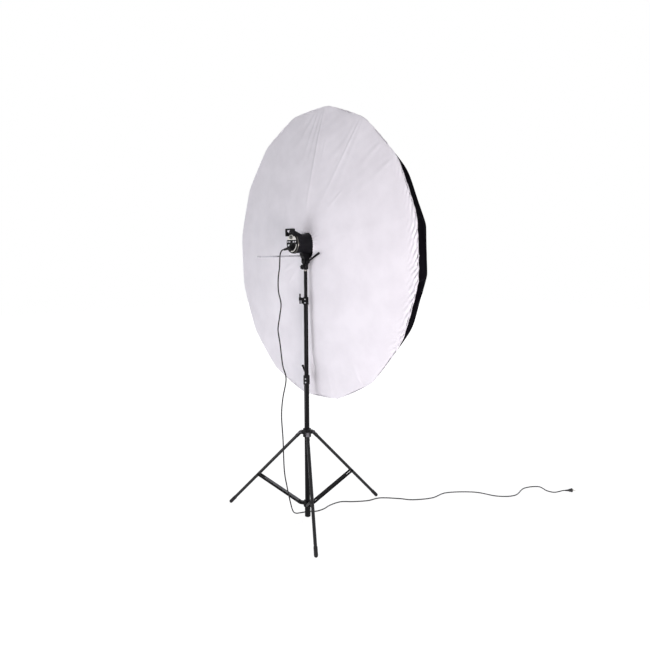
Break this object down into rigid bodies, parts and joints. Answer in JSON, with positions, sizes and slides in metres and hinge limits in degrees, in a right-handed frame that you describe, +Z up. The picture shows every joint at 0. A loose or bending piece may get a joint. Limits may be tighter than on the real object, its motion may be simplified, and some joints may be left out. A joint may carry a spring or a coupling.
{
  "type": "umbrella reflector on light stand",
  "caption": "Large black umbrella reflector with a white front diffuser, on a compact flash head with tilt bracket, on a folding light stand with a mains cord.",
  "frame": {"origin": "on the stand axis at the floor, in the foot of the column", "axes": "+Z up along the stand; +Y from the flash towards the umbrella's crown, so the white diffuser faces -Y; +X completes the frame"},
  "size_m": [1.6356, 1.9253, 2.3642],
  "materials": {
    "painted_tube": "satin black baked paint on drawn tube",
    "moulded_black": "fine spark-eroded grain, injection moulded",
    "cast_black": "black powder coat on a die casting",
    "painted_housing": "fine black texture paint",
    "plated_shaft": "drawn and plated steel rod",
    "black_cloth": "black woven polyester, coated white on the inside",
    "white_cloth": "thin white woven polyester",
    "cord_sheath": "extruded black sheath",
    "glass_fibre": "pultruded glass fibre rod",
    "painted_wire": "black painted steel wire"
  },
  "bodies": {
    "stand": {"column": "painted_tube", "mains_cord": "cord_sheath", "mains_plug": "cord_sheath"},
    "lower_lever": {"lower_clamp_knob": "moulded_black"},
    "spider": {"leg_spider": "moulded_black"},
    "spider_lock": {"spider_knob": "moulded_black"},
    "middle": {"lower_riser": "painted_tube"},
    "upper_lock": {"upper_clamp_knob": "moulded_black"},
    "top": {"upper_riser": "painted_tube"},
    "socket": {"spigot_socket": "cast_black"},
    "spigot_lock": {"spigot_knob": "moulded_black"},
    "head": {"tilt_yoke": "cast_black", "flash_housing": "painted_housing", "rear_panel": "moulded_black", "carry_handle": "moulded_black"},
    "tilt_lock": {"tilt_lever": "moulded_black"},
    "umbrella_lock": {"umbrella_knob": "moulded_black"},
    "dial": {"power_dial": "moulded_black"},
    "umbrella": {"umbrella_shaft": "plated_shaft", "canopy": "black_cloth", "diffuser": "white_cloth"},
    "slider": {"runner": "moulded_black"},
    "leg_1": {"leg_1": "painted_tube"},
    "brace_1": {"brace_1": "painted_tube"},
    "leg_2": {"leg_2": "painted_tube"},
    "brace_2": {"brace_2": "painted_tube"},
    "leg_3": {"leg_3": "painted_tube"},
    "brace_3": {"brace_3": "painted_tube"},
    "rib_01": {"rib_01": "glass_fibre"},
    "stretcher_01": {"stretcher_01": "painted_wire"},
    "rib_02": {"rib_02": "glass_fibre"},
    "stretcher_02": {"stretcher_02": "painted_wire"},
    "rib_03": {"rib_03": "glass_fibre"},
    "stretcher_03": {"stretcher_03": "painted_wire"},
    "rib_04": {"rib_04": "glass_fibre"},
    "stretcher_04": {"stretcher_04": "painted_wire"},
    "rib_05": {"rib_05": "glass_fibre"},
    "stretcher_05": {"stretcher_05": "painted_wire"},
    "rib_06": {"rib_06": "glass_fibre"},
    "stretcher_06": {"stretcher_06": "painted_wire"},
    "rib_07": {"rib_07": "glass_fibre"},
    "stretcher_07": {"stretcher_07": "painted_wire"},
    "rib_08": {"rib_08": "glass_fibre"},
    "stretcher_08": {"stretcher_08": "painted_wire"},
    "rib_09": {"rib_09": "glass_fibre"},
    "stretcher_09": {"stretcher_09": "painted_wire"},
    "rib_10": {"rib_10": "glass_fibre"},
    "stretcher_10": {"stretcher_10": "painted_wire"},
    "rib_11": {"rib_11": "glass_fibre"},
    "stretcher_11": {"stretcher_11": "painted_wire"},
    "rib_12": {"rib_12": "glass_fibre"},
    "stretcher_12": {"stretcher_12": "painted_wire"},
    "rib_13": {"rib_13": "glass_fibre"},
    "stretcher_13": {"stretcher_13": "painted_wire"},
    "rib_14": {"rib_14": "glass_fibre"},
    "stretcher_14": {"stretcher_14": "painted_wire"},
    "rib_15": {"rib_15": "glass_fibre"},
    "stretcher_15": {"stretcher_15": "painted_wire"},
    "rib_16": {"rib_16": "glass_fibre"},
    "stretcher_16": {"stretcher_16": "painted_wire"}
  },
  "joints": [
    {"name": "middle_slide", "type": "slide", "parent": "stand", "child": "middle", "axis": [0, 0, 1], "range_m": [-0.05, 0.22], "deforming": ["mains_cord"]},
    {"name": "top_slide", "type": "slide", "parent": "middle", "child": "top", "axis": [0, 0, 1], "range_m": [-0.05, 0.32], "deforming": ["mains_cord"]},
    {"name": "pan", "type": "hinge", "parent": "top", "child": "socket", "pos_m": [0, 0, 1.484], "axis": [0, 0, 1], "range_deg": [-90, 90], "deforming": ["mains_cord"]},
    {"name": "tilt", "type": "hinge", "parent": "socket", "child": "head", "pos_m": [0, 0, 1.515], "axis": [1, 0, 0], "range_deg": [-2, 60], "deforming": ["mains_cord"]},
    {"name": "umbrella_slide", "type": "slide", "parent": "head", "child": "umbrella", "axis": [0, 1, 0], "range_m": [-0.004, 0.2]},
    {"name": "runner_slide", "type": "slide", "parent": "umbrella", "child": "slider", "axis": [0, -1, 0], "range_m": [0, 0.018], "deforming": ["canopy", "diffuser"]},
    {"name": "spider_slide", "type": "slide", "parent": "stand", "child": "spider", "axis": [0, 0, 1], "range_m": [0, 0.18]},
    {"name": "leg_1_swing", "type": "hinge", "parent": "spider", "child": "leg_1", "pos_m": [0.03496, -0.02142, 0.513], "axis": [0.5225, 0.8526, 0], "range_deg": [0, 15.61]},
    {"name": "brace_1_swing", "type": "hinge", "parent": "stand", "child": "brace_1", "pos_m": [0.03922, -0.02404, 0.081], "axis": [0.5225, 0.8526, 0], "range_deg": [-26.42, 0]},
    {"name": "leg_2_swing", "type": "hinge", "parent": "spider", "child": "leg_2", "pos_m": [0.00107, 0.04099, 0.513], "axis": [-0.9997, 0.0262, 0], "range_deg": [0, 15.61]},
    {"name": "brace_2_swing", "type": "hinge", "parent": "stand", "child": "brace_2", "pos_m": [0.0012, 0.04598, 0.081], "axis": [-0.9997, 0.0262, 0], "range_deg": [-26.42, 0]},
    {"name": "leg_3_swing", "type": "hinge", "parent": "spider", "child": "leg_3", "pos_m": [-0.03603, -0.01956, 0.513], "axis": [0.4772, -0.8788, 0], "range_deg": [0, 15.61]},
    {"name": "brace_3_swing", "type": "hinge", "parent": "stand", "child": "brace_3", "pos_m": [-0.04043, -0.02195, 0.081], "axis": [0.4772, -0.8788, 0], "range_deg": [-26.42, 0]},
    {"name": "rib_01_swing", "type": "hinge", "parent": "umbrella", "child": "rib_01", "pos_m": [0.01747, 0.58822, 1.55035], "axis": [0.2419, 0, -0.9703], "range_deg": [0, 2.35]},
    {"name": "stretcher_01_swing", "type": "hinge", "parent": "slider", "child": "stretcher_01", "pos_m": [0.01649, 0.42179, 1.55011], "axis": [-0.2419, 0, 0.9703], "range_deg": [0, 1.27]},
    {"name": "rib_02_swing", "type": "hinge", "parent": "umbrella", "child": "rib_02", "pos_m": [0.01447, 0.58822, 1.55671], "axis": [0.5948, 0, -0.8039], "range_deg": [0, 2.35]},
    {"name": "stretcher_02_swing", "type": "hinge", "parent": "slider", "child": "stretcher_02", "pos_m": [0.01367, 0.42179, 1.55611], "axis": [-0.5948, 0, 0.8039], "range_deg": [0, 1.27]},
    {"name": "rib_03_swing", "type": "hinge", "parent": "umbrella", "child": "rib_03", "pos_m": [0.00927, 0.58822, 1.56143], "axis": [0.8572, 0, -0.515], "range_deg": [0, 2.35]},
    {"name": "stretcher_03_swing", "type": "hinge", "parent": "slider", "child": "stretcher_03", "pos_m": [0.00876, 0.42179, 1.56057], "axis": [-0.8572, 0, 0.515], "range_deg": [0, 1.27]},
    {"name": "rib_04_swing", "type": "hinge", "parent": "umbrella", "child": "rib_04", "pos_m": [0.00266, 0.58822, 1.5638], "axis": [0.989, 0, -0.1478], "range_deg": [0, 2.35]},
    {"name": "stretcher_04_swing", "type": "hinge", "parent": "slider", "child": "stretcher_04", "pos_m": [0.00251, 0.42179, 1.56281], "axis": [-0.989, 0, 0.1478], "range_deg": [0, 1.27]},
    {"name": "rib_05_swing", "type": "hinge", "parent": "umbrella", "child": "rib_05", "pos_m": [-0.00436, 0.58822, 1.56347], "axis": [0.9703, 0, 0.2419], "range_deg": [0, 2.35]},
    {"name": "stretcher_05_swing", "type": "hinge", "parent": "slider", "child": "stretcher_05", "pos_m": [-0.00411, 0.42179, 1.56249], "axis": [-0.9703, 0, -0.2419], "range_deg": [0, 1.27]},
    {"name": "rib_06_swing", "type": "hinge", "parent": "umbrella", "child": "rib_06", "pos_m": [-0.01071, 0.58822, 1.56047], "axis": [0.8039, 0, 0.5948], "range_deg": [0, 2.35]},
    {"name": "stretcher_06_swing", "type": "hinge", "parent": "slider", "child": "stretcher_06", "pos_m": [-0.01011, 0.42179, 1.55967], "axis": [-0.8039, 0, -0.5948], "range_deg": [0, 1.27]},
    {"name": "rib_07_swing", "type": "hinge", "parent": "umbrella", "child": "rib_07", "pos_m": [-0.01543, 0.58822, 1.55527], "axis": [0.515, 0, 0.8572], "range_deg": [0, 2.35]},
    {"name": "stretcher_07_swing", "type": "hinge", "parent": "slider", "child": "stretcher_07", "pos_m": [-0.01457, 0.42179, 1.55476], "axis": [-0.515, 0, -0.8572], "range_deg": [0, 1.27]},
    {"name": "rib_08_swing", "type": "hinge", "parent": "umbrella", "child": "rib_08", "pos_m": [-0.0178, 0.58822, 1.54866], "axis": [0.1478, 0, 0.989], "range_deg": [0, 2.35]},
    {"name": "stretcher_08_swing", "type": "hinge", "parent": "slider", "child": "stretcher_08", "pos_m": [-0.01681, 0.42179, 1.54851], "axis": [-0.1478, 0, -0.989], "range_deg": [0, 1.27]},
    {"name": "rib_09_swing", "type": "hinge", "parent": "umbrella", "child": "rib_09", "pos_m": [-0.01747, 0.58822, 1.54164], "axis": [-0.2419, 0, 0.9703], "range_deg": [0, 2.35]},
    {"name": "stretcher_09_swing", "type": "hinge", "parent": "slider", "child": "stretcher_09", "pos_m": [-0.01649, 0.42179, 1.54189], "axis": [0.2419, 0, -0.9703], "range_deg": [0, 1.27]},
    {"name": "rib_10_swing", "type": "hinge", "parent": "umbrella", "child": "rib_10", "pos_m": [-0.01447, 0.58822, 1.53529], "axis": [-0.5948, 0, 0.8039], "range_deg": [0, 2.35]},
    {"name": "stretcher_10_swing", "type": "hinge", "parent": "slider", "child": "stretcher_10", "pos_m": [-0.01367, 0.42179, 1.53589], "axis": [0.5948, 0, -0.8039], "range_deg": [0, 1.27]},
    {"name": "rib_11_swing", "type": "hinge", "parent": "umbrella", "child": "rib_11", "pos_m": [-0.00927, 0.58822, 1.53057], "axis": [-0.8572, 0, 0.515], "range_deg": [0, 2.35]},
    {"name": "stretcher_11_swing", "type": "hinge", "parent": "slider", "child": "stretcher_11", "pos_m": [-0.00876, 0.42179, 1.53143], "axis": [0.8572, 0, -0.515], "range_deg": [0, 1.27]},
    {"name": "rib_12_swing", "type": "hinge", "parent": "umbrella", "child": "rib_12", "pos_m": [-0.00266, 0.58822, 1.5282], "axis": [-0.989, 0, 0.1478], "range_deg": [0, 2.35]},
    {"name": "stretcher_12_swing", "type": "hinge", "parent": "slider", "child": "stretcher_12", "pos_m": [-0.00251, 0.42179, 1.52919], "axis": [0.989, 0, -0.1478], "range_deg": [0, 1.27]},
    {"name": "rib_13_swing", "type": "hinge", "parent": "umbrella", "child": "rib_13", "pos_m": [0.00436, 0.58822, 1.52853], "axis": [-0.9703, 0, -0.2419], "range_deg": [0, 2.35]},
    {"name": "stretcher_13_swing", "type": "hinge", "parent": "slider", "child": "stretcher_13", "pos_m": [0.00411, 0.42179, 1.5295], "axis": [0.9703, 0, 0.2419], "range_deg": [0, 1.27]},
    {"name": "rib_14_swing", "type": "hinge", "parent": "umbrella", "child": "rib_14", "pos_m": [0.01071, 0.58822, 1.53153], "axis": [-0.8039, 0, -0.5948], "range_deg": [0, 2.35]},
    {"name": "stretcher_14_swing", "type": "hinge", "parent": "slider", "child": "stretcher_14", "pos_m": [0.01011, 0.42179, 1.53233], "axis": [0.8039, 0, 0.5948], "range_deg": [0, 1.27]},
    {"name": "rib_15_swing", "type": "hinge", "parent": "umbrella", "child": "rib_15", "pos_m": [0.01543, 0.58822, 1.53673], "axis": [-0.515, 0, -0.8572], "range_deg": [0, 2.35]},
    {"name": "stretcher_15_swing", "type": "hinge", "parent": "slider", "child": "stretcher_15", "pos_m": [0.01457, 0.42179, 1.53724], "axis": [0.515, 0, 0.8572], "range_deg": [0, 1.27]},
    {"name": "rib_16_swing", "type": "hinge", "parent": "umbrella", "child": "rib_16", "pos_m": [0.0178, 0.58822, 1.54334], "axis": [-0.1478, 0, -0.989], "range_deg": [0, 2.35]},
    {"name": "stretcher_16_swing", "type": "hinge", "parent": "slider", "child": "stretcher_16", "pos_m": [0.01681, 0.42179, 1.54349], "axis": [0.1478, 0, 0.989], "range_deg": [0, 1.27]},
    {"name": "lower_lever_turn", "type": "hinge", "parent": "stand", "child": "lower_lever", "pos_m": [0, 0, 0.846], "axis": [-0.809, 0.5878, 0], "range_deg": [-60, 60]},
    {"name": "spider_lock_turn", "type": "hinge", "parent": "spider", "child": "spider_lock", "pos_m": [0, 0, 0.513], "axis": [-0.8526, 0.5225, 0], "continuous": true},
    {"name": "upper_lock_turn", "type": "hinge", "parent": "middle", "child": "upper_lock", "pos_m": [0, 0, 1.302], "axis": [-0.5, -0.866, 0], "continuous": true},
    {"name": "spigot_lock_turn", "type": "hinge", "parent": "socket", "child": "spigot_lock", "pos_m": [0, 0, 1.484], "axis": [0.309, -0.9511, 0], "continuous": true},
    {"name": "umbrella_lock_turn", "type": "hinge", "parent": "head", "child": "umbrella_lock", "pos_m": [0, 0, 1.546], "axis": [-1, 0, 0], "continuous": true},
    {"name": "tilt_lock_turn", "type": "hinge", "parent": "head", "child": "tilt_lock", "pos_m": [0, 0, 1.515], "axis": [1, 0, 0], "range_deg": [-2, 80]},
    {"name": "dial_turn", "type": "hinge", "parent": "head", "child": "dial", "pos_m": [0, -0.093, 1.652], "axis": [0, -1, 0], "range_deg": [-135, 135]}
  ],
  "couplings": [
    {"joint": "leg_1_swing", "follows": "spider_slide", "rad_per_m": 1.5083},
    {"joint": "brace_1_swing", "follows": "spider_slide", "rad_per_m": -2.5571},
    {"joint": "leg_2_swing", "follows": "spider_slide", "rad_per_m": 1.5083},
    {"joint": "brace_2_swing", "follows": "spider_slide", "rad_per_m": -2.5571},
    {"joint": "leg_3_swing", "follows": "spider_slide", "rad_per_m": 1.5083},
    {"joint": "brace_3_swing", "follows": "spider_slide", "rad_per_m": -2.5571},
    {"joint": "rib_01_swing", "follows": "runner_slide", "rad_per_m": 2.234},
    {"joint": "stretcher_01_swing", "follows": "runner_slide", "rad_per_m": 1.1823},
    {"joint": "rib_02_swing", "follows": "runner_slide", "rad_per_m": 2.234},
    {"joint": "stretcher_02_swing", "follows": "runner_slide", "rad_per_m": 1.1823},
    {"joint": "rib_03_swing", "follows": "runner_slide", "rad_per_m": 2.234},
    {"joint": "stretcher_03_swing", "follows": "runner_slide", "rad_per_m": 1.1823},
    {"joint": "rib_04_swing", "follows": "runner_slide", "rad_per_m": 2.234},
    {"joint": "stretcher_04_swing", "follows": "runner_slide", "rad_per_m": 1.1823},
    {"joint": "rib_05_swing", "follows": "runner_slide", "rad_per_m": 2.234},
    {"joint": "stretcher_05_swing", "follows": "runner_slide", "rad_per_m": 1.1823},
    {"joint": "rib_06_swing", "follows": "runner_slide", "rad_per_m": 2.234},
    {"joint": "stretcher_06_swing", "follows": "runner_slide", "rad_per_m": 1.1823},
    {"joint": "rib_07_swing", "follows": "runner_slide", "rad_per_m": 2.234},
    {"joint": "stretcher_07_swing", "follows": "runner_slide", "rad_per_m": 1.1823},
    {"joint": "rib_08_swing", "follows": "runner_slide", "rad_per_m": 2.234},
    {"joint": "stretcher_08_swing", "follows": "runner_slide", "rad_per_m": 1.1823},
    {"joint": "rib_09_swing", "follows": "runner_slide", "rad_per_m": 2.234},
    {"joint": "stretcher_09_swing", "follows": "runner_slide", "rad_per_m": 1.1823},
    {"joint": "rib_10_swing", "follows": "runner_slide", "rad_per_m": 2.234},
    {"joint": "stretcher_10_swing", "follows": "runner_slide", "rad_per_m": 1.1823},
    {"joint": "rib_11_swing", "follows": "runner_slide", "rad_per_m": 2.234},
    {"joint": "stretcher_11_swing", "follows": "runner_slide", "rad_per_m": 1.1823},
    {"joint": "rib_12_swing", "follows": "runner_slide", "rad_per_m": 2.234},
    {"joint": "stretcher_12_swing", "follows": "runner_slide", "rad_per_m": 1.1823},
    {"joint": "rib_13_swing", "follows": "runner_slide", "rad_per_m": 2.234},
    {"joint": "stretcher_13_swing", "follows": "runner_slide", "rad_per_m": 1.1823},
    {"joint": "rib_14_swing", "follows": "runner_slide", "rad_per_m": 2.234},
    {"joint": "stretcher_14_swing", "follows": "runner_slide", "rad_per_m": 1.1823},
    {"joint": "rib_15_swing", "follows": "runner_slide", "rad_per_m": 2.234},
    {"joint": "stretcher_15_swing", "follows": "runner_slide", "rad_per_m": 1.1823},
    {"joint": "rib_16_swing", "follows": "runner_slide", "rad_per_m": 2.234},
    {"joint": "stretcher_16_swing", "follows": "runner_slide", "rad_per_m": 1.1823}
  ]
}
